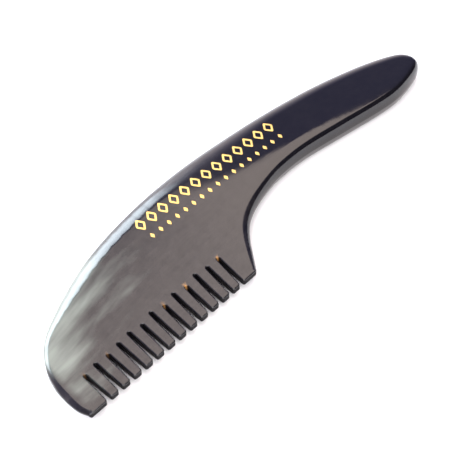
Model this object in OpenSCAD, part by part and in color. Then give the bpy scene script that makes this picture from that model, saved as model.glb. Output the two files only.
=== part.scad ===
// Beard comb cut from one plate of polished horn: a short handle, a thick spine, a ground blade
// with a row of sawn teeth, and a stamped foil ornament on one face.
// The comb lies flat: teeth toward -Y, handle toward +X, underside of the handle on z = 0.

/* [Blank] */
// Length of the comb, toe to handle end
comb_length = 147.7; // [140:0.1:160]
// Width of the comb, spine to tooth tips
comb_width = 38.8; // [36:0.1:42]
// Thickness of the handle and the spine
comb_thickness = 7.4; // [6:0.1:9]

/* [Blade] */
// Thickness at the tooth tips
tip_thickness = 2.2; // [1.6:0.1:3]
// Height of the grinding line above the tooth tips, at the toe
grind_toe = 38.4; // [34:0.2:38.4]
// Height of the grinding line above the tooth tips, at the heel
grind_heel = 27; // [24:0.2:30]
// Share of the ground face over which it rounds in from the flat
grind_blend = 0.35; // [0.1:0.05:0.6]
// Edge rounding of the blade's rim
rim_radius = 1; // [0.4:0.1:1.4]

/* [Teeth] */
// Number of saw cuts, one fewer than the teeth
slot_count = 13; // [9:1:13]
// Distance from one saw cut to the next
slot_pitch = 3.92; // [3.6:0.02:3.94]
// Distance from the toe to the first saw cut, at the tips
first_slot = 7.7; // [7:0.1:8]
// Depth of the first saw cut
slot_depth = 9.4; // [8.8:0.1:10]
// Width of a saw cut at the tips
slot_width = 1.35; // [0.8:0.05:1.5]
// Width of a saw cut at its root
root_width = 0.95; // [0.6:0.05:1.2]
// How much more each cut's root leans toward the heel than the one before it
slot_fan = 0.065; // [0:0.005:0.08]
// How much shorter the teeth are at the heel than at the toe
tip_rise = 0.4; // [0:0.1:0.8]
// Rounding of a tooth's corners, seen from above
tip_corner = 0.6; // [0.2:0.05:0.9]
// Bevel on the two faces of a tooth's end
tip_bevel = 0.35; // [0.1:0.05:0.6]

/* [Foil] */
// Film thickness of the stamped foil
foil_thickness = 0.06; // [0.04:0.01:0.1]
// Number of large lozenges in the upper row
lozenge_count = 13; // [7:1:13]
// Height of a large lozenge
lozenge_height = 4.4; // [3:0.1:5]
// Width of a large lozenge
lozenge_width = 3.2; // [2:0.1:3.5]
// Stroke width of a large lozenge
lozenge_stroke = 0.55; // [0.4:0.05:0.6]
// Number of small lozenges in the lower row
bead_count = 17; // [9:1:17]
// Height of a small lozenge
bead_height = 1.9; // [1.2:0.1:2.2]
// Width of a small lozenge
bead_width = 1.2; // [0.8:0.1:1.8]

/* [Hidden] */
// The outline is drawn with its toe at x = 0 and the tooth tips at y = 0, then centred.
drawn_length = 147.7;
drawn_width = 38.8;
half_thickness = comb_thickness / 2;
half_tip = tip_thickness / 2;

// Points that the outline passes through, from the tooth line round the toe, along the spine
// and round the handle end, and then back under the handle to the heel.
toe_edge = [[1.5, 0], [0.3, 3.2], [0, 6.8]];
upper_edge = [[0, 6.8], [0.4, 11.2], [1.9, 16.2], [4.4, 20.3], [7.7, 23.7], [12.3, 26.6],
    [19.7, 30.2], [28.7, 33.7], [39.7, 36.3], [53.7, 38.1], [69.7, 38.8], [85.7, 38], [101.7, 36.2],
    [117.7, 33.4], [131.7, 29.7], [140.7, 26.4], [145.3, 23.8], [147.2, 21.3], [147.7, 18.9]];
lower_edge = [[59.9, 0], [63.5, 4.7], [66.6, 8.7], [70.7, 12.6], [76.2, 15.3], [83.7, 17.3],
    [90.7, 18.1], [99.7, 17.8], [111.7, 16], [125.7, 13.8], [134.2, 13.2], [142.7, 14.6],
    [146.6, 16.5], [147.7, 18.9]];

// How far each hand-sawn cut misses its intended depth, from the toe to the heel.
depth_error = [-0.3, 0.2, -0.2, 0.3, 0.6, -0.2, 0.8, -0.3, 0.6, -0.3, 0.6, -0.1, -0.2];
// How much deeper each cut is meant to be than the one before it.
depth_growth = 0.09;
// The teeth are split from the back along this line, just short of every cut's root.
root_line = slot_depth + min(depth_error) - 0.3;
// Where the handle begins to be round all over, and where it is fully so.
handle_start = 58;
handle_full = 92;

curve_steps = 4;
section_points = 18;
end_gap = 0.03;
least_height = 0.05;
cut_margin = 1;

// Column and row ends of the two foil rows, and how far they slope toward the handle.
foil_left = 48.4;
foil_right = 96.6;
lozenge_row = 31.6;
bead_row = 27;
foil_slope = -1.4;

function tooth_name(i) = str("tooth_", i < 9 ? "0" : "", i + 1);

// A smooth curve through a list of points, a few steps to each span.
function span_point(a, b, c, d, t) =
    0.5 * (2 * b + (c - a) * t + (2 * a - 5 * b + 4 * c - d) * t * t + (3 * b - a - 3 * c + d) * t * t * t);
function curve(p) = let (last = len(p) - 1) [
    for (i = [0:last - 1], step = [0:curve_steps - 1])
        span_point(
            i > 0 ? p[i - 1] : 2 * p[0] - p[1], p[i],
            p[i + 1], i + 2 <= last ? p[i + 2] : 2 * p[last] - p[last - 1],
            step / curve_steps),
    p[last]];

upper_curve = curve(upper_edge);
lower_curve = curve(lower_edge);
toe_curve = concat(curve(toe_edge), [for (i = [1:len(upper_curve) - 1]) upper_curve[i]]);
rim = concat(toe_curve, [for (i = [len(lower_curve) - 2:-1:0]) lower_curve[i]]);

// Where a curve first crosses a value: along x if k is 0, and along y if k is 1.
function crossing(p, v, k, i = 0) =
    let (a = p[i], b = p[i + 1], other = 1 - k)
        v >= min(a[k], b[k]) && v <= max(a[k], b[k]) || i == len(p) - 2
            ? a[other] + (b[other] - a[other]) * (v - a[k]) / (b[k] - a[k])
            : crossing(p, v, k, i + 1);

// Distance from a point to the outer rim.
function to_span(q, a, b) =
    let (ab = b - a, t = max(0, min(1, (q - a) * ab / (ab * ab)))) norm(q - a - t * ab);
function to_rim(q) = min([for (i = [0:len(rim) - 2]) to_span(q, rim[i], rim[i + 1])]);

// Half the comb's thickness before its edges are rounded: flat down to the grinding line, then
// easing into a straight wedge that reaches the tip thickness on the tooth line.
function grind_line(x) = grind_toe + (grind_heel - grind_toe) * x / lower_edge[0].x;
function wedge(u) = (u < grind_blend ? u * u / (2 * grind_blend) : u - grind_blend / 2) / (1 - grind_blend / 2);
function ground(x, y) = max(0, min(1, 1 - y / max(grind_line(x), lower_edge[6].y)));
function plate(x, y) = half_thickness - (half_thickness - half_tip) * wedge(ground(x, y));

// The rim is round all over on the handle, and only eased on the blade.
function ease(t) = let (s = max(0, min(1, t))) s * s * (3 - 2 * s);
function roundness(x) = ease((x - handle_start) / (handle_full - handle_start));
function edge_radius(x, y) = rim_radius + (plate(x, y) - rim_radius) * roundness(x);
function half_height(x, y) =
    let (r = edge_radius(x, y), d = min(r, to_rim([x, y])))
        max(least_height, plate(x, y) - r + sqrt(max(0, r * r - (r - d) * (r - d))));

// From the drawing to the comb's own place and size.
function place(p) = [(p.x / drawn_length - 0.5) * comb_length, (p.y / drawn_width - 0.5) * comb_width];

// Sections across the back, from the toe to the handle end, closer together at both ends.
toe_x = crossing(toe_curve, root_line, 1);
heel_x = crossing(lower_curve, root_line, 1);
end_x = 134;
station = concat(
    [for (t = [0:9]) toe_x + end_gap + 8 * pow(t / 10, 2)],
    [for (t = [0:15]) toe_x + 8 + (heel_x - toe_x - 8) * t / 16],
    [for (t = [0:17]) heel_x + (end_x - heel_x) * t / 18],
    [for (a = [0:10:80]) end_x + (drawn_length - end_x) * sin(a)],
    [drawn_length - end_gap]);
function section(x) =
    let (low = x < heel_x ? root_line : crossing(lower_curve, x, 0),
        high = crossing(upper_curve, x, 0),
        ys = [for (j = [0:section_points]) (low + high) / 2 - (high - low) / 2 * cos(180 * j / section_points)],
        hs = [for (y = ys) half_height(x, y)])
    concat(
        [for (j = [0:section_points]) concat(place([x, ys[j]]), half_thickness + hs[j])],
        [for (j = [section_points:-1:0]) concat(place([x, ys[j]]), half_thickness - hs[j])]);

// One side line of a saw cut at a height above the tooth line; side is -1 or 1.
function cut_depth(i) = slot_depth + depth_growth * i + depth_error[i];
function cut_side(i, y, side) =
    first_slot + (slot_pitch + slot_fan * y / slot_depth) * i
    + side * (slot_width + (root_width - slot_width) * y / slot_depth) / 2;

// The end of a tooth above the tooth line, and its two sides, with its corners rounded off.
function tooth_end(i) = tip_rise * i / slot_count;
function corner(rise) = rise < tip_corner ? tip_corner - sqrt(tip_corner * tip_corner - pow(tip_corner - rise, 2)) : 0;
function tooth_left(i, y) = (i == 0 ? crossing(toe_curve, y, 1) : cut_side(i - 1, y, 1)) + corner(y - tooth_end(i));
function tooth_right(i, y) =
    (i == slot_count ? crossing(lower_curve, y, 1) : cut_side(i, y, -1)) - corner(y - tooth_end(i));

module horn_back() {
    ring = 2 * section_points + 2;
    last = len(station) - 1;
    points = [for (x = station) each section(x)];
    walls = [for (i = [0:last - 1], j = [0:ring - 1])
        let (k = (j + 1) % ring, a = i * ring + j, b = i * ring + k)
            each [[a, b, a + ring], [b, b + ring, a + ring]]];
    toe_cap = [for (j = [0:section_points - 1]) let (k = ring - 1 - j) each [[j + 1, j, k], [j + 1, k, k - 1]]];
    end_cap = [for (face = toe_cap) [for (j = [2:-1:0]) face[j] + last * ring]];
    color("#2b2830")
        difference() {
            polyhedron(points, concat(walls, toe_cap, end_cap));
            for (i = [0:slot_count - 1]) cut_root(i);
        }
}

// The end of one saw cut, which reaches a little way into the back.
module cut_root(i) {
    half_root = root_width / 2;
    straight = cut_depth(i) - half_root;
    centre = (cut_side(i, straight, -1) + cut_side(i, straight, 1)) / 2;
    low = root_line - cut_margin;
    outline = concat(
        [[cut_side(i, low, 1), low]],
        [for (a = [0:30:180]) [centre + half_root * cos(a), straight + half_root * sin(a)]],
        [[cut_side(i, low, -1), low]]);
    translate([0, 0, -cut_margin])
        linear_extrude(comb_thickness + 2 * cut_margin)
            polygon([for (p = outline) place(p)]);
}

// One tooth: its outline seen from above, cut to the wedge seen from its side.
module tooth(i) {
    end = tooth_end(i);
    levels = concat([root_line, root_line / 2, root_line / 4], [for (a = [0:30:90]) end + tip_corner * (1 - sin(a))]);
    last = len(levels) - 1;
    outline = concat(
        [for (y = levels) [tooth_left(i, y), y]],
        [for (j = [last:-1:0]) [tooth_right(i, levels[j]), levels[j]]]);
    middle = (tooth_left(i, root_line) + tooth_right(i, root_line)) / 2;
    half_root = plate(middle, root_line);
    tip_y = place([0, end]).y;
    root_y = place([0, root_line]).y;
    bevel_half = half_tip + (half_root - half_tip) * tip_bevel / (root_y - tip_y);
    side = [
        [root_y, half_root], [tip_y + tip_bevel, bevel_half], [tip_y, half_tip - tip_bevel],
        [tip_y, tip_bevel - half_tip], [tip_y + tip_bevel, -bevel_half], [root_y, -half_root]];
    color("#6e6660")
        intersection() {
            linear_extrude(comb_thickness)
                polygon([for (p = outline) place(p)]);
            translate([-comb_length / 2, 0, half_thickness])
                rotate([90, 0, 90])
                    linear_extrude(comb_length)
                        polygon(side);
        }
}

// One lozenge of foil on the face of the comb, solid or with an open middle.
module lozenge(at, width, height, stroke) {
    spot = place(at);
    bare = 1 - 2 * stroke * norm([width, height]) / (width * height);
    translate([spot.x, spot.y, half_thickness + plate(at.x, at.y)])
        rotate([0, 0, foil_slope])
            linear_extrude(foil_thickness)
                difference() {
                    diamond(width, height);
                    if (stroke > 0) diamond(width * bare, height * bare);
                }
}

module diamond(width, height) {
    polygon([[width / 2, 0], [0, height / 2], [-width / 2, 0], [0, -height / 2]]);
}

// Place of one mark along a foil row.
function along_row(i, count, row) =
    let (x = foil_left + (foil_right - foil_left) * i / (count - 1)) [x, row + (x - foil_left) * tan(foil_slope)];

module foil_lozenges() {
    color("#e8c878")
        for (i = [0:lozenge_count - 1])
            lozenge(along_row(i, lozenge_count, lozenge_row), lozenge_width, lozenge_height, lozenge_stroke);
}

module foil_beads() {
    color("#e8c878")
        for (i = [0:bead_count - 1])
            lozenge(along_row(i, bead_count, bead_row), bead_width, bead_height, 0);
}

horn_back();
for (i = [0:slot_count])
    tooth(i);
foil_lozenges();
foil_beads();
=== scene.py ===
"""A beard comb cut from polished black horn with a stamped foil ornament, on a pale studio floor."""
import math

import bpy
import numpy as np
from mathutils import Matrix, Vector
from mathutils.geometry import delaunay_2d_cdt


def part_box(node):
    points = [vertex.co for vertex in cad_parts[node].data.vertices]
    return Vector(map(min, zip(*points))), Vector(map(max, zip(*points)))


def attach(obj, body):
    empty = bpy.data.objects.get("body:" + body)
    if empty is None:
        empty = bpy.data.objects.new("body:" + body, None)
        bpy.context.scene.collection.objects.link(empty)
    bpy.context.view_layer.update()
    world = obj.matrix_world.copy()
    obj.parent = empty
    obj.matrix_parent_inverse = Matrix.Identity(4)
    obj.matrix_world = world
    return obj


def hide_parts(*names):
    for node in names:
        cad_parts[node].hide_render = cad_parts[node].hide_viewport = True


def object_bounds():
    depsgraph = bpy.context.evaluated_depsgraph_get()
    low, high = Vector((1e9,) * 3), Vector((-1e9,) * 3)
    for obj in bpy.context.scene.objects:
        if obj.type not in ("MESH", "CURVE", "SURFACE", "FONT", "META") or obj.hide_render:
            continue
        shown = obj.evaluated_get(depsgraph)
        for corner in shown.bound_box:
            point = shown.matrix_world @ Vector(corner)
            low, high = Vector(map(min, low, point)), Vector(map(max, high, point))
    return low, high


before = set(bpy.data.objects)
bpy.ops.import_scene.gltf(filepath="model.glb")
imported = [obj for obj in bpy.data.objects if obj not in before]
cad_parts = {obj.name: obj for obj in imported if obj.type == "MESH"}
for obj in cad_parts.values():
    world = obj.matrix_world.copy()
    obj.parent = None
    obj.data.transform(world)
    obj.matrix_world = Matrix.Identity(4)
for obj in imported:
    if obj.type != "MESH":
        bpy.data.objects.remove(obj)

bl_info = {
    "name": "Horn Beard Comb",
    "version": (1, 0, 0),
    "blender": (4, 5, 0),
    "location": "3D View > Sidebar > Comb",
    "description": "Builds a polished horn beard comb with gold foil ornament and its studio stage",
    "category": "Object",
}

MM = 0.001
LOW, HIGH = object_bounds()
HORN_NODES = sorted(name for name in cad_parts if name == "horn_back" or name.startswith("tooth_"))

# ---------------------------------------------------------------------------------------------
# Shape of the comb, in millimetres from the toe (x) and from the tooth tips (y)
# ---------------------------------------------------------------------------------------------

DRAWN_LENGTH = 147.7
DRAWN_WIDTH = 38.8
TOE_EDGE = [(1.5, 0), (0.3, 3.2), (0, 6.8)]
UPPER_EDGE = [
    (0, 6.8), (0.4, 11.2), (1.9, 16.2), (4.4, 20.3), (7.7, 23.7), (12.3, 26.6), (19.7, 30.2),
    (28.7, 33.7), (39.7, 36.3), (53.7, 38.1), (69.7, 38.8), (85.7, 38), (101.7, 36.2),
    (117.7, 33.4), (131.7, 29.7), (140.7, 26.4), (145.3, 23.8), (147.2, 21.3), (147.7, 18.9)]
LOWER_EDGE = [
    (59.9, 0), (63.5, 4.7), (66.6, 8.7), (70.7, 12.6), (76.2, 15.3), (83.7, 17.3), (90.7, 18.1),
    (99.7, 17.8), (111.7, 16), (125.7, 13.8), (134.2, 13.2), (142.7, 14.6), (146.6, 16.5), (147.7, 18.9)]
# How far each hand-sawn cut misses its intended depth, from the toe to the heel.
DEPTH_ERROR = [-0.3, 0.2, -0.2, 0.3, 0.6, -0.2, 0.8, -0.3, 0.6, -0.3, 0.6, -0.1, -0.2]
# How much deeper each cut is than the one before it, and how much further its root leans toward the heel.
DEPTH_GROWTH = 0.09
SLOT_FAN = 0.065
# Cuts, counted from the toe, whose roots reach thin translucent horn, and how strongly each shows a painted
# amber glow there: light shining through the thin horn, painted into its colour. A speck is full out to half
# this reach, and fades out at one and a half times it.
PAINTED_GLOW_ROOTS = {0: 0.15, 2: 0.15, 7: 0.4, 9: 0.9, 12: 0.7}
PAINTED_GLOW_REACH = 0.32
# Height of the grinding line, above which the plate keeps its full thickness.
GRIND = [
    (0, 50), (28, 49), (46, 45), (60, 38), (72, 30.5), (84, 26.5), (95, 23.6), (104, 20.8), (111, 19),
    (122, 16.7), (132, 15.4), (138, 14.8), (148, 13)]
# Where the grind's run-out into the flat tightens on its way to the handle, and the share of it left there.
RUN_OUT_TIGHTENS = (84, 104)
RUN_OUT_LEFT = 0.4
# The rounded rim, from the heel along the handle and back along the spine to the toe: the place along it, the
# rounding's width and drop, how tight its upper corner is, and how bellied its wall is below that corner.
RIM = [
    (0, 0.9, 1.0, 1.8, 1.8), (4, 1.6, 1.7, 1.9, 1.9), (12, 2.3, 2.6, 2.1, 2.0), (20, 2.9, 3.7, 3.4, 1.5),
    (32, 3.7, 3.7, 8.5, 1.0), (58, 4.2, 3.7, 9.0, 1.0), (76, 3.8, 3.7, 8.0, 1.0), (86, 3.0, 3.7, 4.4, 1.3),
    (96, 3.2, 3.7, 2.6, 2.0), (106, 3.8, 3.7, 2.0, 2.0), (148, 4.6, 3.7, 2.0, 2.0),
    (164, 5.8, 3.5, 1.95, 1.95), (180, 6.2, 2.9, 1.75, 1.75), (192, 5.0, 2.5, 1.5, 1.5),
    (205, 4.4, 2.3, 1.35, 1.35), (226, 3.8, 2.1, 1.35, 1.35), (236, 2.6, 1.6, 1.35, 1.35),
    (245, 1.4, 0.9, 1.4, 1.4), (256, 1.1, 0.75, 1.4, 1.4), (261, 1.5, 1.5, 1.15, 1.15),
    (272, 0.9, 0.8, 1.15, 1.15)]
# How many points to each side the rounding is smoothed over.
RIM_SMOOTHING = 9
# Corner and belly of a plain quarter round.
QUARTER_ROUND = 2.0
# Filing by hand leaves the inner edge of the blade's spine a little wavy. These are the places along the rim
# where that begins, is full, is still full and ends, and each wave's share of the rounding's width, its
# radians to a millimetre and its shift.
FILED = (190, 200, 238, 246)
FILE_WAVES = [(0.03, 1.3, 0), (0.015, 2.9, 1)]
# The least half thickness that a rounded edge keeps.
LEAST_HALF = 0.02

# Distance between the mesh's points along the rim, along the saw cuts and on the faces, and the height of a
# row of triangles as a share of its width.
RIM_SPACING = 0.38
TOOTH_SPACING = 0.4
FACE_SPACING = 0.85
ROW_HEIGHT = 0.866
# Rings of points that follow the rim's rounding: degrees round it, and how far beyond it. The last ring lies
# just inside the rounding, so that the flat begins crisply.
RINGS = [(9, 0), (19, 0), (29, 0), (39, 0), (49, 0), (59, 0), (69, 0), (78, 0), (85, 0), (90, 0), (91, 0.3)]
# From this ring on, every other point is enough, unless the rounding is narrow.
SPARSE_FROM = 39
NARROW = 1
# The share of its own reach at which a ring's point counts as clear of every other stretch of rim, and how
# far from the rim the face's own points begin, as a share of the rounding's width and a length beyond that.
RING_CLEAR = 0.93
FACE_CLEAR = 1.24
FACE_GAP = 0.25
# With fewer faces than this, the horn's mesh has gone wrong.
LEAST_FACES = 10000
# Height of the grain map at the spine. At the toe, the map takes the spine's height from this far along, so
# that its rows don't pinch together there.
GRAIN_HEIGHT = 35
GRAIN_FROM = 15
# Points handled at a time where distances are measured, to spare memory.
BATCH = 2000

# The ornament: the rows' shared start and length, the height of each row there, and their slope in degrees.
ROW_START = 48.4
ROW_LENGTH = 48.2
ROW_SLOPE = -1.4
LOZENGE_COUNT = 13
LOZENGE_HEIGHT = 31.6
BEAD_COUNT = 17
BEAD_HEIGHT = 27
# Width, height and rounding of a lozenge, of its open middle and of a small lozenge in the lower row.
LOZENGE = (3.2, 4.4, 0.5)
LOZENGE_MIDDLE = (1.84, 2.53, 0.2)
BEAD = (1.2, 1.9, 0.25)
# How deep the foil's edges reach into the horn.
FOIL_SINK = 0.03

# ---------------------------------------------------------------------------------------------
# The studio, in metres and degrees in the comb's own frame
# ---------------------------------------------------------------------------------------------

TABLE_REACH = 3
CAMERA_PLACE = (-0.16075, -0.1512, 0.2845)
CAMERA_TURN = (37, 0, -46.05)
# Colours of the room: away from the window, toward it, and of the pale wall low down on that side.
ROOM_COLOURS = ("#4a4a5e", "#8f8fc0", "#f2e6ee")
# Each lamp's name, place, the point it is aimed at, its size and colour, and where across it the fade of its
# diffuser cloth starts and ends.
LAMPS = [
    ("softbox", (0.25, 0.265, 1.2), (0.25, 0.265, 0.0), (1.1, 0.64), "#ffeddd", (1, 0.85)),
    ("window", (-0.095, 1.174, 0.55), (0.0, 0.0, 0.0), (1.27, 0.95), "#e6f5ff", (0, 0.3)),
    ("fill", (-0.5, -0.75, 1.15), (0.0, 0.0, 0.0), (1.8, 1.8), "#f5f2f5", (0, 0.1)),
]

# ---------------------------------------------------------------------------------------------
# Curves and lines
# ---------------------------------------------------------------------------------------------

def curve(points, steps=12):
    """A smooth curve through points, with a few steps to each span."""
    p = np.array(points, float)
    p = np.vstack([2 * p[0] - p[1], p, 2 * p[-1] - p[-2]])
    out = []
    for a, b, c, d in zip(p, p[1:], p[2:], p[3:]):
        for t in np.arange(steps) / steps:
            out.append(0.5 * (2 * b + (c - a) * t + (2 * a - 5 * b + 4 * c - d) * t ** 2
                              + (3 * b - a - 3 * c + d) * t ** 3))
    return np.array(out + [p[-2]])


def resample(line, spacing):
    """The same line with points an even distance apart."""
    at = np.r_[0, np.cumsum(np.linalg.norm(np.diff(line, axis=0), axis=1))]
    count = max(2, int(round(at[-1] / spacing)) + 1)
    even = np.linspace(0, at[-1], count)
    return np.c_[np.interp(even, at, line[:, 0]), np.interp(even, at, line[:, 1])]


def across(line, y):
    """Where a line that starts upward first reaches a height."""
    top = int(line[:, 1].argmax()) + 1
    return float(np.interp(y, line[:top, 1], line[:top, 0]))


def nearest(points, line):
    """Distance from each point to a line, and the place along the line's points that is nearest."""
    a, b = line[:-1], line[1:]
    ab = b - a
    length2 = (ab ** 2).sum(1)
    best = np.full(len(points), np.inf)
    place = np.zeros(len(points))
    for start in range(0, len(points), BATCH):
        part = slice(start, start + BATCH)
        p = points[part]
        ap = p[:, None] - a[None]
        t = np.clip((ap * ab[None]).sum(2) / length2[None], 0, 1)
        gap = np.linalg.norm(ap - t[..., None] * ab[None], axis=2)
        k = gap.argmin(1)
        rows = np.arange(len(p))
        best[part] = gap[rows, k]
        place[part] = k + t[rows, k]
    return best, place


# ---------------------------------------------------------------------------------------------
# The comb and its meshes
# ---------------------------------------------------------------------------------------------

class Comb:
    """The comb's outline, and its half thickness at any point."""

    def __init__(self, size):
        self.size = size
        self.half = size.thickness / MM / 2
        self.half_tip = size.tip_thickness / MM / 2
        self.toe = curve(TOE_EDGE)
        self.upper = curve(UPPER_EDGE)
        self.lower = curve(LOWER_EDGE)
        self.grind = curve(GRIND)
        self.tooth_line = self.make_tooth_line()
        # The outer rim runs from the heel, under the handle, back along the spine and round the toe. It joins
        # the tooth line's two ends from just above them.
        whole = np.vstack([self.lower, self.upper[::-1][1:], self.toe[::-1][1:]])
        heel, toe = self.tooth_line[-1], self.tooth_line[0]
        just_above = 0.1
        first = int(np.argmax(whole[:, 1] > heel[1] + just_above))
        last = len(whole) - int(np.argmax(whole[::-1, 1] > toe[1] + just_above))
        self.rim = resample(np.vstack([heel, whole[first:last], toe]), RIM_SPACING)
        self.set_rim_rounding()

    def cut_depth(self, i):
        """Height of a saw cut's root above the tooth tips."""
        return self.size.slot_depth / MM + DEPTH_GROWTH * i + DEPTH_ERROR[i]

    def cut_side(self, i, y, side):
        """One side line of a saw cut at a height above the tooth tips."""
        share = y / (self.size.slot_depth / MM)
        middle = self.size.first_slot / MM + (self.size.slot_pitch / MM + SLOT_FAN * share) * i
        width = (self.size.slot_width + (self.size.root_width - self.size.slot_width) * share) / MM
        return middle + side * width / 2

    def make_tooth_line(self):
        """The line from the toe corner to the heel corner, into and out of every saw cut."""
        corner = self.size.tooth_corner / MM
        rise = self.size.tip_rise / MM
        half = self.size.root_width / MM / 2
        cuts = len(DEPTH_ERROR)
        quarter = np.radians(np.linspace(0, 90, 6))
        turn = [(corner * (1 - math.cos(a)), corner * (1 - math.sin(a))) for a in quarter]
        line = [(across(self.toe, up) + over, up) for over, up in turn]
        for i in range(cuts + 1):
            end = rise * i / cuts
            if i > 0:
                line += [(self.cut_side(i - 1, end, 1) + over, end + up) for over, up in turn]
            if i < cuts:
                line += [(self.cut_side(i, end, -1) - over, end + up) for over, up in turn[::-1]]
                straight = self.cut_depth(i) - half
                centre = (self.cut_side(i, straight, -1) + self.cut_side(i, straight, 1)) / 2
                line += [(centre + half * math.cos(a), straight + half * math.sin(a))
                         for a in np.radians(np.linspace(180, 0, 9))]
        line += [(across(self.lower, end + up) - over, end + up) for over, up in turn[::-1]]
        out = [np.array(line[0])]
        for a, b in zip(np.array(line), np.array(line[1:])):
            parts = max(1, int(round(np.linalg.norm(b - a) / TOOTH_SPACING)))
            out += [a + (b - a) * k / parts for k in range(1, parts + 1)]
        return np.array(out)

    def set_rim_rounding(self):
        """Width, drop, corner and belly of the rounding at every point of the outer rim."""
        run = np.r_[0, np.cumsum(np.linalg.norm(np.diff(self.rim, axis=0), axis=1))]
        table = np.array(RIM)
        self.rim_width, self.rim_drop, self.rim_corner, self.rim_belly = (
            smooth(np.interp(run, table[:, 0], table[:, column]), RIM_SMOOTHING) for column in (1, 2, 3, 4))
        self.rim_drop = np.minimum(self.rim_drop, self.plate(self.rim) - LEAST_HALF)
        waves = sum(share * np.sin(run * rate + shift) for share, rate, shift in FILE_WAVES)
        self.rim_width *= 1 + np.interp(run, FILED, (0, 1, 1, 0)) * waves

    def grind_line(self, x):
        """Height of the grinding line at a place along the comb."""
        return np.interp(x, self.grind[:, 0], self.grind[:, 1])

    def plate(self, points):
        """Half thickness before the edges are rounded: flat, then a straight wedge to the tips."""
        soft = self.size.grind_blend * np.interp(points[:, 0], RUN_OUT_TIGHTENS, (1, RUN_OUT_LEFT))
        u = np.clip(1 - points[:, 1] / self.grind_line(points[:, 0]), 0, 1)
        wedge = np.where(u < soft, u * u / (2 * soft), u - soft / 2) / (1 - soft / 2)
        return self.half - (self.half - self.half_tip) * wedge

    def half_height(self, points):
        """Half thickness with the rim, the tooth ends and the saw cuts eased."""
        gap, place = nearest(points, self.rim)
        index = np.arange(len(self.rim))
        outer = rounding(gap, *(np.interp(place, index, row) for row in (
            self.rim_width, self.rim_drop, self.rim_corner, self.rim_belly)))
        gap_teeth, _ = nearest(points, self.tooth_line)
        edge = self.size.tooth_edge / MM
        fall = np.maximum(outer, rounding(gap_teeth, edge, edge))
        return np.maximum(self.plate(points) - fall, LEAST_HALF)

    def place(self, points):
        """From millimetres in the drawing to metres in the comb's own frame."""
        low, high = np.array(LOW[:2]), np.array(HIGH[:2])
        drawn_low = np.minimum(self.rim.min(0), self.tooth_line.min(0))
        drawn_high = np.maximum(self.rim.max(0), self.tooth_line.max(0))
        return low + (high - low) * (points - drawn_low) / (drawn_high - drawn_low)


def smooth(values, reach):
    """The same values, each averaged with its neighbours on both sides."""
    padded = np.pad(values, reach, mode="edge")
    window = np.hanning(2 * reach + 3)[1:-1]
    return np.convolve(padded, window / window.sum(), mode="valid")


def rounding(gap, width, drop, corner=QUARTER_ROUND, belly=QUARTER_ROUND):
    """How far a rounded edge falls away at a distance in from the rim. A higher corner is tighter, and a
    lower belly makes the wall below it straighter."""
    t = np.clip(1 - gap / width, 0, 1)
    return drop * (1 - (1 - t ** corner) ** (1 / belly))


def rim_rings(loop, border, width, corner, belly):
    """Rings of points that follow the rounding in from the rim, clear of any other stretch of rim."""
    tangent = np.roll(loop, -1, 0) - np.roll(loop, 1, 0)
    tangent /= np.linalg.norm(tangent, axis=1)[:, None]
    inward = np.c_[-tangent[:, 1], tangent[:, 0]]
    every_other = np.arange(len(loop)) % 2 == 0
    rings = []
    for degrees, beyond in RINGS:
        level = math.sin(math.radians(min(degrees, 90)))
        reach = width * (1 - np.clip(1 - level ** belly, 0, 1) ** (1 / corner)) + beyond
        ring = loop + inward * reach[:, None]
        gap, _ = nearest(ring, border)
        keep = gap > reach * RING_CLEAR - 1e-6
        if degrees >= SPARSE_FROM:
            keep &= every_other | (width < NARROW)
        if beyond:
            keep &= width > NARROW
        rings.append(ring[keep])
    return rings


def face_grid(loop, border, width):
    """Even rows of points over the face, clear of the rings along its rim."""
    xs = np.arange(0, DRAWN_LENGTH, FACE_SPACING)
    ys = np.arange(0, DRAWN_WIDTH, FACE_SPACING * ROW_HEIGHT)
    grid = np.array([(x + (j % 2) * FACE_SPACING / 2, y) for j, y in enumerate(ys) for x in xs])
    gap, place = nearest(grid, border)
    limit = np.interp(place, np.arange(len(loop) + 1), np.r_[width, width[:1]])
    return grid[(gap > limit * FACE_CLEAR + FACE_GAP) & inside(grid, loop)]


def painted_amber_glow(comb, points):
    """How much painted amber glow each point gets: a speck at the root of each cut that reaches thin
    translucent horn, where light shining through the horn is painted into its colour.
    """
    amber = np.zeros(len(points))
    for cut, glow in PAINTED_GLOW_ROOTS.items():
        depth = comb.cut_depth(cut)
        centre = (comb.cut_side(cut, depth, -1) + comb.cut_side(cut, depth, 1)) / 2
        away = np.hypot(points[:, 0] - centre, points[:, 1] - depth)
        amber = np.maximum(amber, glow * np.clip(1.5 - away / PAINTED_GLOW_REACH, 0, 1))
    return amber


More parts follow.
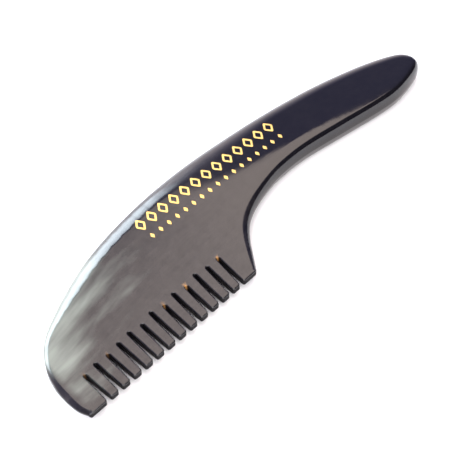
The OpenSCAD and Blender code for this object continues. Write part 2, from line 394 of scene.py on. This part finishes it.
def horn_mesh(comb):
    """The whole comb as one closed mesh: two mirrored faces and the walls between them."""
    loop = np.vstack([comb.tooth_line[:-1], comb.rim[:-1]])
    border = np.vstack([loop, loop[:1]])
    count = len(loop)
    sawn_count = len(comb.tooth_line) - 1
    width, corner, belly = (
        np.r_[np.full(sawn_count, at_teeth), at_rim[:-1]] for at_teeth, at_rim in (
            (comb.size.tooth_edge / MM, comb.rim_width),
            (QUARTER_ROUND, comb.rim_corner),
            (QUARTER_ROUND, comb.rim_belly)))
    flat = np.vstack([loop, *rim_rings(loop, border, width, corner, belly), face_grid(loop, border, width)])
    edges = [(i, (i + 1) % count) for i in range(count)]
    verts, _, faces, origin, _, _ = delaunay_2d_cdt([Vector(p) for p in flat], edges, [], 1, 1e-6)
    verts = np.array([(v.x, v.y) for v in verts])
    height = comb.half_height(verts)
    plan = comb.place(verts)
    top = np.c_[plan, (comb.half + height) * MM]
    bottom = np.c_[plan, (comb.half - height) * MM]

    # The underside's points follow the top's in the same order, and the walls join the two round the loop.
    n = len(verts)
    where = {o: i for i, group in enumerate(origin) for o in group}
    ring = [where[i] for i in range(count)]
    walls = [(ring[k], n + ring[k], n + ring[(k + 1) % count], ring[(k + 1) % count]) for k in range(count)]
    all_faces = [tuple(f) for f in faces] + [tuple(n + i for i in reversed(f)) for f in faces] + walls
    mesh = bpy.data.meshes.new("horn_comb")
    mesh.from_pydata(np.vstack([top, bottom]).tolist(), [], all_faces)
    sawn = set(ring[:sawn_count])
    for face in mesh.polygons[len(faces) * 2:]:
        face.material_index = 1 if face.vertices[0] in sawn else 0

    # The grain map bends with the spine: place along the comb, and share of the way up to the spine.
    spine = np.interp(np.hypot(verts[:, 0], GRAIN_FROM), comb.upper[:, 0], comb.upper[:, 1])
    grain = np.tile(np.c_[verts[:, 0], verts[:, 1] / spine * GRAIN_HEIGHT] * MM, (2, 1))
    used = np.zeros(len(mesh.loops), int)
    mesh.loops.foreach_get("vertex_index", used)
    mesh.uv_layers.new(name="grain").data.foreach_set("uv", grain[used].ravel())
    amber = np.tile(painted_amber_glow(comb, verts), 2)
    mesh.attributes.new("amber", "FLOAT", "POINT").data.foreach_set("value", amber)
    mesh.shade_smooth()
    return mesh


def inside(points, loop):
    """Whether each point lies inside a closed loop."""
    x, y = points[:, 0], points[:, 1]
    odd = np.zeros(len(points), bool)
    for (ax, ay), (bx, by) in zip(loop, np.roll(loop, -1, 0)):
        crosses = (ay > y) != (by > y)
        with np.errstate(divide="ignore", invalid="ignore"):
            odd ^= crosses & (x < (bx - ax) * (y - ay) / (by - ay) + ax)
    return odd


def foil_piece(comb, name, marks, lift):
    """A row of stamped marks, as thin skins that follow the face. Each mark is an outline, and the outline of
    its open middle or None."""
    verts, faces = [], []
    for outer, inner in marks:
        base = len(verts)
        loops = [outer] if inner is None else [outer, inner]
        for loop in loops:
            height = comb.half + comb.half_height(loop)
            plan = comb.place(loop)
            verts += np.c_[plan, (height - FOIL_SINK) * MM].tolist()
            verts += np.c_[plan, height * MM + lift].tolist()
        n = len(outer)
        for k in range(n):
            j = (k + 1) % n
            faces.append((base + k, base + j, base + n + j, base + n + k))
            if inner is not None:
                faces.append((base + n + k, base + n + j, base + 3 * n + j, base + 3 * n + k))
                faces.append((base + 3 * n + k, base + 3 * n + j, base + 2 * n + j, base + 2 * n + k))
                faces.append((base + j, base + k, base + 2 * n + k, base + 2 * n + j))
        if inner is None:
            faces.append(tuple(base + n + k for k in range(n)))
            faces.append(tuple(base + k for k in reversed(range(n))))
    mesh = bpy.data.meshes.new(name)
    mesh.from_pydata(verts, [], faces)
    mesh.validate()
    return mesh


def diamond(centre, size, slope):
    """A lozenge with its corners a little rounded, as a stamp leaves them."""
    width, height, soften = size
    corners = np.array([(width / 2, 0), (0, height / 2), (-width / 2, 0), (0, -height / 2)])
    points = []
    for k in range(4):
        before, here, after = corners[k - 1], corners[k], corners[(k + 1) % 4]
        a = here + (before - here) / np.linalg.norm(before - here) * soften
        b = here + (after - here) / np.linalg.norm(after - here) * soften
        for t in (0, 0.5, 1):
            points.append((1 - t) ** 2 * a + 2 * t * (1 - t) * here + t * t * b)
        points.append((b + corners[(k + 1) % 4]) / 2)
    c, s = math.cos(slope), math.sin(slope)
    return np.array(centre) + np.array(points) @ np.array([(c, s), (-s, c)])


def row_of_places(count, height, slope):
    """The centres of the marks in one row of the ornament."""
    runs = [ROW_LENGTH * i / (count - 1) for i in range(count)]
    return [(ROW_START + run, height + run * math.tan(slope)) for run in runs]


# ---------------------------------------------------------------------------------------------
# Materials
# ---------------------------------------------------------------------------------------------

HORN_IOR = 1.55


def linear(colour, alpha=1.0):
    """An sRGB hex colour, or the values of a colour property, as linear values with alpha."""
    if isinstance(colour, str):
        channels = [int(colour[i:i + 2], 16) / 255 for i in (1, 3, 5)]
        return tuple(c / 12.92 if c <= 0.04045 else ((c + 0.055) / 1.055) ** 2.4 for c in channels) + (alpha,)
    return tuple(colour)[:3] + (alpha,)


def add(tree, kind, inputs=None, **settings):
    """A node with its settings, and its inputs set to values or linked from other nodes' outputs."""
    made = tree.nodes.new(kind)
    for name, value in settings.items():
        setattr(made, name, value)
    for key, value in (inputs or {}).items():
        if isinstance(value, bpy.types.NodeSocket):
            tree.links.new(value, made.inputs[key])
        else:
            made.inputs[key].default_value = value
    return made


def emptied(owner):
    """The node tree of a material, a lamp or a world, with nothing in it."""
    owner.use_nodes = True
    owner.node_tree.nodes.clear()
    return owner.node_tree


def polished_buffalo_horn(finish):
    """Polished buffalo horn: a sawn plate, ground to a wedge, then buffed. Nearly black, with a mirror-like
    gloss that shows faint buffing lines, a cloudy grain, and pale clouds near the toe."""
    material = bpy.data.materials.new("polished_buffalo_horn")
    tree = emptied(material)
    place = add(tree, "ShaderNodeTexCoord").outputs["Object"]
    grain = add(tree, "ShaderNodeUVMap", uv_map="grain").outputs["UV"]
    axes = add(tree, "ShaderNodeSeparateXYZ", {"Vector": grain})

    # Cloudy grain, in patches about 3 mm wide that break up ever finer, shows most on the ground blade.
    cloud = add(tree, "ShaderNodeTexNoise", {
        "Vector": place, "Scale": 1 / (3 * MM), "Detail": 8.0, "Roughness": 0.85})
    blade = add(tree, "ShaderNodeMapRange", {
        "Value": axes.outputs["X"], "From Min": 60 * MM, "From Max": 100 * MM,
        "To Min": 1.0, "To Max": 0.2}, interpolation_type="SMOOTHSTEP")
    mottle = add(tree, "ShaderNodeMapRange", {
        "Value": cloud.outputs["Fac"], "From Min": 0.4, "From Max": 0.68, "To Max": blade.outputs["Result"]})
    base = add(tree, "ShaderNodeMix", {
        "Factor": mottle.outputs["Result"], 6: linear(finish.dark_horn),
        7: linear(finish.cloudy_horn)}, data_type="RGBA")

    # Pale clouds about 6 mm wide and 25 mm long hug the spine near the toe, and die out 55 mm from the toe.
    along = add(tree, "ShaderNodeMapping", {
        "Vector": grain, "Scale": (25 * MM, 6 * MM, 1)}, vector_type="TEXTURE")
    broad = add(tree, "ShaderNodeTexNoise", {
        "Vector": along.outputs["Vector"], "Scale": 1.0, "Detail": 3.0, "Roughness": 0.45})
    near_toe = add(tree, "ShaderNodeMapRange", {
        "Value": axes.outputs["X"], "From Min": 6 * MM, "From Max": 70 * MM, "To Min": 0.26, "To Max": -0.55})
    near_spine = add(tree, "ShaderNodeMapRange", {
        "Value": axes.outputs["Y"], "From Min": 8 * MM, "From Max": 32 * MM, "To Min": -0.22, "To Max": 0.19})
    nearness = add(tree, "ShaderNodeMath", {
        0: near_toe.outputs["Result"], 1: near_spine.outputs["Result"]}, operation="ADD")
    amount = add(tree, "ShaderNodeMath", {
        0: broad.outputs["Fac"], 1: nearness.outputs["Value"]}, operation="ADD")
    # The toe's rim itself is dark.
    off_rim = add(tree, "ShaderNodeMapRange", {
        "Value": axes.outputs["X"], "From Min": 1.2 * MM,
        "From Max": 4 * MM}, interpolation_type="SMOOTHSTEP")
    pale = add(tree, "ShaderNodeMapRange", {
        "Value": amount.outputs["Value"], "From Min": 0.42, "From Max": 0.92,
        "To Max": off_rim.outputs["Result"]}, interpolation_type="SMOOTHSTEP")
    clouded = add(tree, "ShaderNodeMix", {
        "Factor": pale.outputs["Result"], 6: base.outputs[2], 7: linear(finish.pale_horn)}, data_type="RGBA")
    # Thin translucent horn at the roots of a few cuts glows amber with light shining through it, and that
    # glow is painted into the colour.
    thin = add(tree, "ShaderNodeAttribute", attribute_name="amber")
    colour = add(tree, "ShaderNodeMix", {
        "Factor": thin.outputs["Fac"], 6: clouded.outputs[2], 7: linear(finish.amber_horn_and_painted_glow)}, data_type="RGBA")

    # Buffing leaves faint lines and low ripples. The lines are far finer on real horn, and are drawn 0.4 mm
    # apart so that they show.
    fine = add(tree, "ShaderNodeMapping", {
        "Vector": grain, "Scale": (6 * MM, 0.4 * MM, 1)}, vector_type="TEXTURE")
    lines = add(tree, "ShaderNodeTexNoise", {"Vector": fine.outputs["Vector"], "Scale": 1.0, "Detail": 3.0})
    ripple = add(tree, "ShaderNodeTexNoise", {"Vector": place, "Scale": 1 / (6 * MM), "Detail": 2.0})
    low_bump = add(tree, "ShaderNodeBump", {
        "Height": ripple.outputs["Fac"], "Strength": 1.0, "Distance": 0.03 * MM})
    bump = add(tree, "ShaderNodeBump", {
        "Height": lines.outputs["Fac"], "Strength": 0.4, "Distance": 0.01 * MM,
        "Normal": low_bump.outputs["Normal"]})
    # The ground blade is buffed less than the handle, and the gloss varies a little from line to line.
    ground = add(tree, "ShaderNodeMapRange", {
        "Value": axes.outputs["X"], "From Min": 50 * MM, "From Max": 95 * MM,
        "To Min": finish.blade_roughness, "To Max": finish.handle_roughness}, interpolation_type="SMOOTHSTEP")
    varied = add(tree, "ShaderNodeMapRange", {
        "Value": lines.outputs["Fac"], "From Min": 0.3, "From Max": 0.7, "To Min": 0.8, "To Max": 1.25})
    rough = add(tree, "ShaderNodeMath", {
        0: ground.outputs["Result"], 1: varied.outputs["Result"]}, operation="MULTIPLY")
    shader = add(tree, "ShaderNodeBsdfPrincipled", {
        "Base Color": colour.outputs[2], "Roughness": rough.outputs["Value"], "IOR": HORN_IOR,
        "Normal": bump.outputs["Normal"]})
    add(tree, "ShaderNodeOutputMaterial", {"Surface": shader.outputs["BSDF"]})
    return material


def sawn_buffalo_horn(finish):
    """Sawn buffalo horn: the cut faces between the teeth, left as the saw leaves them. Dull, and roughened by
    saw marks that swallow what little light gets in, so the slots look nearly black."""
    material = bpy.data.materials.new("sawn_buffalo_horn")
    tree = emptied(material)
    place = add(tree, "ShaderNodeTexCoord").outputs["Object"]
    # Saw marks run through the thickness, 0.25 mm apart.
    cut = add(tree, "ShaderNodeMapping", {
        "Vector": place, "Scale": (0.25 * MM, 0.25 * MM, 4 * MM)}, vector_type="TEXTURE")
    marks = add(tree, "ShaderNodeTexNoise", {"Vector": cut.outputs["Vector"], "Scale": 1.0, "Detail": 2.0})
    tone = add(tree, "ShaderNodeMix", {
        "Factor": marks.outputs["Fac"], 6: linear(finish.dark_horn),
        7: linear(finish.sawn_horn)}, data_type="RGBA")
    # Thin translucent horn at the roots of a few cuts glows amber with light shining through it, and that
    # glow is painted into the colour.
    thin = add(tree, "ShaderNodeAttribute", attribute_name="amber")
    colour = add(tree, "ShaderNodeMix", {
        "Factor": thin.outputs["Fac"], 6: tone.outputs[2], 7: linear(finish.amber_horn_and_painted_glow)}, data_type="RGBA")
    bump = add(tree, "ShaderNodeBump", {
        "Height": marks.outputs["Fac"], "Strength": 0.5, "Distance": 0.02 * MM})
    shader = add(tree, "ShaderNodeBsdfPrincipled", {
        "Base Color": colour.outputs[2], "Roughness": 0.55, "Specular IOR Level": 0.1, "IOR": HORN_IOR,
        "Normal": bump.outputs["Normal"]})
    add(tree, "ShaderNodeOutputMaterial", {"Surface": shader.outputs["BSDF"]})
    return material


def hot_stamped_gold_foil(finish):
    """Hot-stamped gold foil: a metal film pressed onto the horn, satin and a little broken by its grain."""
    material = bpy.data.materials.new("hot_stamped_gold_foil")
    tree = emptied(material)
    place = add(tree, "ShaderNodeTexCoord").outputs["Object"]
    # Pressing leaves dimples about 0.3 mm across.
    dimple = add(tree, "ShaderNodeTexNoise", {"Vector": place, "Scale": 1 / (0.3 * MM), "Detail": 2.0})
    bump = add(tree, "ShaderNodeBump", {
        "Height": dimple.outputs["Fac"], "Strength": 0.6, "Distance": 0.03 * MM})
    tone = add(tree, "ShaderNodeMix", {
        "Factor": dimple.outputs["Fac"], 6: linear(finish.foil_shade),
        7: linear(finish.foil)}, data_type="RGBA")
    shader = add(tree, "ShaderNodeBsdfPrincipled", {
        "Base Color": tone.outputs[2], "Metallic": 1.0, "Roughness": 0.45, "Normal": bump.outputs["Normal"]})
    add(tree, "ShaderNodeOutputMaterial", {"Surface": shader.outputs["BSDF"]})
    return material


def matt_white_laminate(settings):
    """Matt white laminate: a plain table top, lightly grained by its press plate. Even and almost white, with
    no visible reflections."""
    material = bpy.data.materials.new("matt_white_laminate")
    tree = emptied(material)
    place = add(tree, "ShaderNodeTexCoord").outputs["Object"]
    # The press plate leaves a grain of about 0.8 mm, barely there.
    pressed = add(tree, "ShaderNodeTexNoise", {"Vector": place, "Scale": 1 / (0.8 * MM), "Detail": 2.0})
    tone = add(tree, "ShaderNodeMix", {
        "Factor": pressed.outputs["Fac"], 6: linear(settings.table_shade),
        7: linear(settings.table_light)}, data_type="RGBA")
    shader = add(tree, "ShaderNodeBsdfPrincipled", {"Base Color": tone.outputs[2], "Roughness": 0.9})
    add(tree, "ShaderNodeOutputMaterial", {"Surface": shader.outputs["BSDF"]})
    return material


# ---------------------------------------------------------------------------------------------
# What a user can change
# ---------------------------------------------------------------------------------------------

def length(name, description, default):
    """The words and limits that every length property shares."""
    return dict(name=name, description=description, default=default, min=0.01 * MM, max=500 * MM,
                unit="LENGTH", subtype="DISTANCE", precision=5)


def tint(name, description, colour):
    """The words and limits that every colour property shares."""
    return dict(name=name, description=description, default=linear(colour)[:3], subtype="COLOR", size=3,
                min=0, max=1)


class CombSizes(bpy.types.PropertyGroup):
    """Sizes of the comb."""

    thickness: bpy.props.FloatProperty(**length(
        "Thickness", "Thickness of the horn plate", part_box("horn_back")[1].z))
    tip_thickness: bpy.props.FloatProperty(**length(
        "Tip thickness", "Thickness of the teeth at their ends", 2.2 * MM))
    grind_blend: bpy.props.FloatProperty(
        name="Grind blend", description="Share of the ground face that eases into the flat face", default=0.2,
        min=0.05, max=0.95, subtype="FACTOR")
    slot_pitch: bpy.props.FloatProperty(**length(
        "Slot pitch", "Distance between neighbouring saw cuts", 3.92 * MM))
    first_slot: bpy.props.FloatProperty(**length(
        "First slot", "Distance of the first saw cut from the toe", 7.7 * MM))
    slot_depth: bpy.props.FloatProperty(**length(
        "Slot depth", "Depth of the saw cuts", 9.4 * MM))
    slot_width: bpy.props.FloatProperty(**length(
        "Slot width", "Width of the saw cuts at the tips", 1.35 * MM))
    root_width: bpy.props.FloatProperty(**length(
        "Root width", "Width of the saw cuts at their roots", 0.95 * MM))
    tip_rise: bpy.props.FloatProperty(**length(
        "Tip rise", "How much higher the last tip is than the first", 0.4 * MM))
    tooth_corner: bpy.props.FloatProperty(**length(
        "Tooth corner", "Rounding of the tooth ends, from above", 0.6 * MM))
    tooth_edge: bpy.props.FloatProperty(**length(
        "Tooth edge", "Rounding of the edges along the saw cuts", 0.35 * MM))
    foil_lift: bpy.props.FloatProperty(**length(
        "Foil lift", "How far the foil stands above the horn", 0.04 * MM))


class CombFinish(bpy.types.PropertyGroup):
    """Colours and gloss of the comb."""

    dark_horn: bpy.props.FloatVectorProperty(**tint(
        "Dark horn", "Colour of the darkest horn", "#0b0a0d"))
    cloudy_horn: bpy.props.FloatVectorProperty(**tint(
        "Cloudy horn", "Colour of the cloudy grain", "#272424"))
    pale_horn: bpy.props.FloatVectorProperty(**tint(
        "Pale horn", "Colour of the pale clouds near the toe", "#7a8076"))
    # Painted glow: the amber of thin horn with light shining through it, painted into the colour.
    amber_horn_and_painted_glow: bpy.props.FloatVectorProperty(**tint(
        "Amber horn", "Colour of thin horn with light behind it", "#d09a5c"))
    sawn_horn: bpy.props.FloatVectorProperty(**tint(
        "Sawn horn", "Colour of the saw marks inside the cuts", "#121012"))
    foil: bpy.props.FloatVectorProperty(**tint(
        "Foil", "Colour of the gold foil", "#ffe08f"))
    foil_shade: bpy.props.FloatVectorProperty(**tint(
        "Foil shade", "Colour of the gold foil where it is thin", "#efc168"))
    handle_roughness: bpy.props.FloatProperty(
        name="Handle roughness", description="Roughness of the polished handle", default=0.09, min=0, max=1,
        subtype="FACTOR")
    blade_roughness: bpy.props.FloatProperty(
        name="Blade roughness", description="Roughness of the ground and buffed blade", default=0.2, min=0,
        max=1, subtype="FACTOR")


class CombStage(bpy.types.PropertyGroup):
    """Table, lights and camera."""

    table_shade: bpy.props.FloatVectorProperty(**tint(
        "Table shade", "Colour of the table top in the dips of its grain", "#f5f3ef"))
    table_light: bpy.props.FloatVectorProperty(**tint(
        "Table light", "Colour of the table top on the rises of its grain", "#f8f7f4"))
    softbox_power: bpy.props.FloatProperty(
        name="Softbox", description="Power of the large softbox overhead", default=7.7, min=0, unit="POWER")
    window_power: bpy.props.FloatProperty(
        name="Window", description="Power of the low light behind the comb", default=45.0, min=0,
        unit="POWER")
    fill_power: bpy.props.FloatProperty(
        name="Fill", description="Power of the soft light behind the camera", default=46.0, min=0,
        unit="POWER")
    lens: bpy.props.FloatProperty(
        name="Lens", description="Focal length of the camera", default=103.2, min=10, max=400, unit="CAMERA")


# ---------------------------------------------------------------------------------------------
# Operators
# ---------------------------------------------------------------------------------------------

def piece(name, mesh, materials, nodes):
    """Puts a finished mesh in the scene as a piece of the comb that stands for some of its CAD solids."""
    made = bpy.data.objects.new(name, mesh)
    for material in materials:
        made.data.materials.append(material)
    bpy.context.scene.collection.objects.link(made)
    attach(made, "root")
    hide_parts(*nodes)


class COMB_OT_horn(bpy.types.Operator):
    """Cut, grind and polish the horn comb"""

    bl_idname = "comb.horn"
    bl_label = "Horn Comb"

    def execute(self, context):
        scene = context.scene
        mesh = horn_mesh(Comb(scene.comb_sizes))
        if len(mesh.polygons) < LEAST_FACES:
            raise RuntimeError("the comb's outline did not close, so its faces are missing")
        materials = [polished_buffalo_horn(scene.comb_finish), sawn_buffalo_horn(scene.comb_finish)]
        piece("horn_comb", mesh, materials, HORN_NODES)
        return {"FINISHED"}


class COMB_OT_foil(bpy.types.Operator):
    """Stamp the two rows of gold foil ornament"""

    bl_idname = "comb.foil"
    bl_label = "Foil Ornament"

    def execute(self, context):
        scene = context.scene
        comb = Comb(scene.comb_sizes)
        materials = [hot_stamped_gold_foil(scene.comb_finish)]
        slope = math.radians(ROW_SLOPE)
        lozenges = row_of_places(LOZENGE_COUNT, LOZENGE_HEIGHT, slope)
        beads = row_of_places(BEAD_COUNT, BEAD_HEIGHT, slope)
        open_marks = [(diamond(c, LOZENGE, slope), diamond(c, LOZENGE_MIDDLE, slope)) for c in lozenges]
        solid_marks = [(diamond(c, BEAD, slope), None) for c in beads]
        lift = scene.comb_sizes.foil_lift
        piece("foil_lozenge_row", foil_piece(comb, "foil_lozenge_row", open_marks, lift), materials,
              ["foil_lozenges"])
        piece("foil_bead_row", foil_piece(comb, "foil_bead_row", solid_marks, lift), materials,
              ["foil_beads"])
        return {"FINISHED"}


def lay_table(scene, settings):
    """A plain table top under the comb."""
    reach = TABLE_REACH
    mesh = bpy.data.meshes.new("table_top")
    mesh.from_pydata([(-reach, -reach, 0), (reach, -reach, 0), (reach, reach, 0), (-reach, reach, 0)], [],
                     [(0, 1, 2, 3)])
    table = bpy.data.objects.new("table_top", mesh)
    table.data.materials.append(matt_white_laminate(settings))
    scene.collection.objects.link(table)


def hang_lamp(scene, settings, name, place, target, size, colour, fade):
    """A rectangular lamp behind a diffuser cloth that fades toward one edge."""
    lamp = bpy.data.lights.new(name, "AREA")
    lamp.shape = "RECTANGLE"
    lamp.size, lamp.size_y = size
    lamp.energy = getattr(settings, name + "_power")
    lamp.color = linear(colour)[:3]
    holder = bpy.data.objects.new(name, lamp)
    holder.location = place
    holder.rotation_euler = (Vector(target) - Vector(place)).to_track_quat("-Z", "Y").to_euler()
    holder.visible_camera = False
    tree = emptied(lamp)
    cloth = add(tree, "ShaderNodeSeparateXYZ", {
        "Vector": add(tree, "ShaderNodeNewGeometry").outputs["Parametric"]})
    glow = add(tree, "ShaderNodeMapRange", {
        "Value": cloth.outputs["Y"], "From Min": fade[0],
        "From Max": fade[1]}, interpolation_type="SMOOTHSTEP")
    source = add(tree, "ShaderNodeEmission", {"Strength": glow.outputs["Result"]})
    add(tree, "ShaderNodeOutputLight", {"Surface": source.outputs["Emission"]})
    scene.collection.objects.link(holder)


def light_room(scene):
    """The room round the table: dim navy, darkest on the side away from the window, and with a pale wall low
    down on the window's side."""
    away, toward, pale = (linear(colour) for colour in ROOM_COLOURS)
    world = bpy.data.worlds.new("room")
    tree = emptied(world)
    way = add(tree, "ShaderNodeSeparateXYZ", {
        "Vector": add(tree, "ShaderNodeTexCoord").outputs["Generated"]})
    lit = add(tree, "ShaderNodeMapRange", {
        "Value": way.outputs["Y"], "From Min": -0.5, "From Max": 0.4}, interpolation_type="SMOOTHSTEP")
    room = add(tree, "ShaderNodeMix", {
        "Factor": lit.outputs["Result"], 6: away, 7: toward}, data_type="RGBA")
    low = add(tree, "ShaderNodeMapRange", {"Value": way.outputs["Z"], "From Min": 0.76, "From Max": 0.2})
    wall = add(tree, "ShaderNodeMapRange", {
        "Value": way.outputs["Y"], "From Min": 0.3, "From Max": 0.6,
        "To Max": low.outputs["Result"]}, interpolation_type="SMOOTHSTEP")
    tone = add(tree, "ShaderNodeMix", {
        "Factor": wall.outputs["Result"], 6: room.outputs[2], 7: pale}, data_type="RGBA")
    strength = add(tree, "ShaderNodeMapRange", {
        "Value": wall.outputs["Result"], "To Min": 1.0, "To Max": 2.6})
    light = add(tree, "ShaderNodeBackground", {
        "Color": tone.outputs[2], "Strength": strength.outputs["Result"]})
    add(tree, "ShaderNodeOutputWorld", {"Surface": light.outputs["Background"]})
    scene.world = world


def stand_camera(scene, settings):
    """The camera, above the near side of the toe."""
    lens = bpy.data.cameras.new("camera")
    lens.lens = settings.lens
    lens.sensor_width = 36
    lens.clip_start, lens.clip_end = 0.01, 20
    camera = bpy.data.objects.new("camera", lens)
    camera.location = CAMERA_PLACE
    camera.rotation_euler = [math.radians(turn) for turn in CAMERA_TURN]
    scene.collection.objects.link(camera)
    scene.camera = camera


class COMB_OT_stage(bpy.types.Operator):
    """Lay the table top and set the lights and the camera"""

    bl_idname = "comb.stage"
    bl_label = "Studio Stage"

    def execute(self, context):
        scene = context.scene
        lay_table(scene, scene.comb_stage)
        for lamp in LAMPS:
            hang_lamp(scene, scene.comb_stage, *lamp)
        light_room(scene)
        scene.view_settings.view_transform = "Standard"
        stand_camera(scene, scene.comb_stage)
        return {"FINISHED"}


class COMB_PT_panel(bpy.types.Panel):
    """Buttons and sizes of the beard comb"""

    bl_idname = "COMB_PT_panel"
    bl_label = "Beard Comb"
    bl_space_type = "VIEW_3D"
    bl_region_type = "UI"
    bl_category = "Comb"

    def draw(self, context):
        for made in OPERATORS:
            self.layout.operator(made.bl_idname)
        for group, holder in GROUPS.items():
            box = self.layout.box()
            for name in group.__annotations__:
                box.prop(getattr(context.scene, holder), name)


GROUPS = {CombSizes: "comb_sizes", CombFinish: "comb_finish", CombStage: "comb_stage"}
OPERATORS = (COMB_OT_horn, COMB_OT_foil, COMB_OT_stage)


def register():
    """Adds the classes and their properties to Blender."""
    for made in (*GROUPS, *OPERATORS, COMB_PT_panel):
        bpy.utils.register_class(made)
    for group, name in GROUPS.items():
        setattr(bpy.types.Scene, name, bpy.props.PointerProperty(type=group))


def unregister():
    """Takes the classes and their properties out of Blender again."""
    for name in GROUPS.values():
        delattr(bpy.types.Scene, name)
    for made in reversed((*GROUPS, *OPERATORS, COMB_PT_panel)):
        bpy.utils.unregister_class(made)


def main():
    """Builds the comb and its stage."""
    register()
    bpy.ops.comb.horn()
    bpy.ops.comb.foil()
    bpy.ops.comb.stage()


if __name__ == "__main__":
    main()
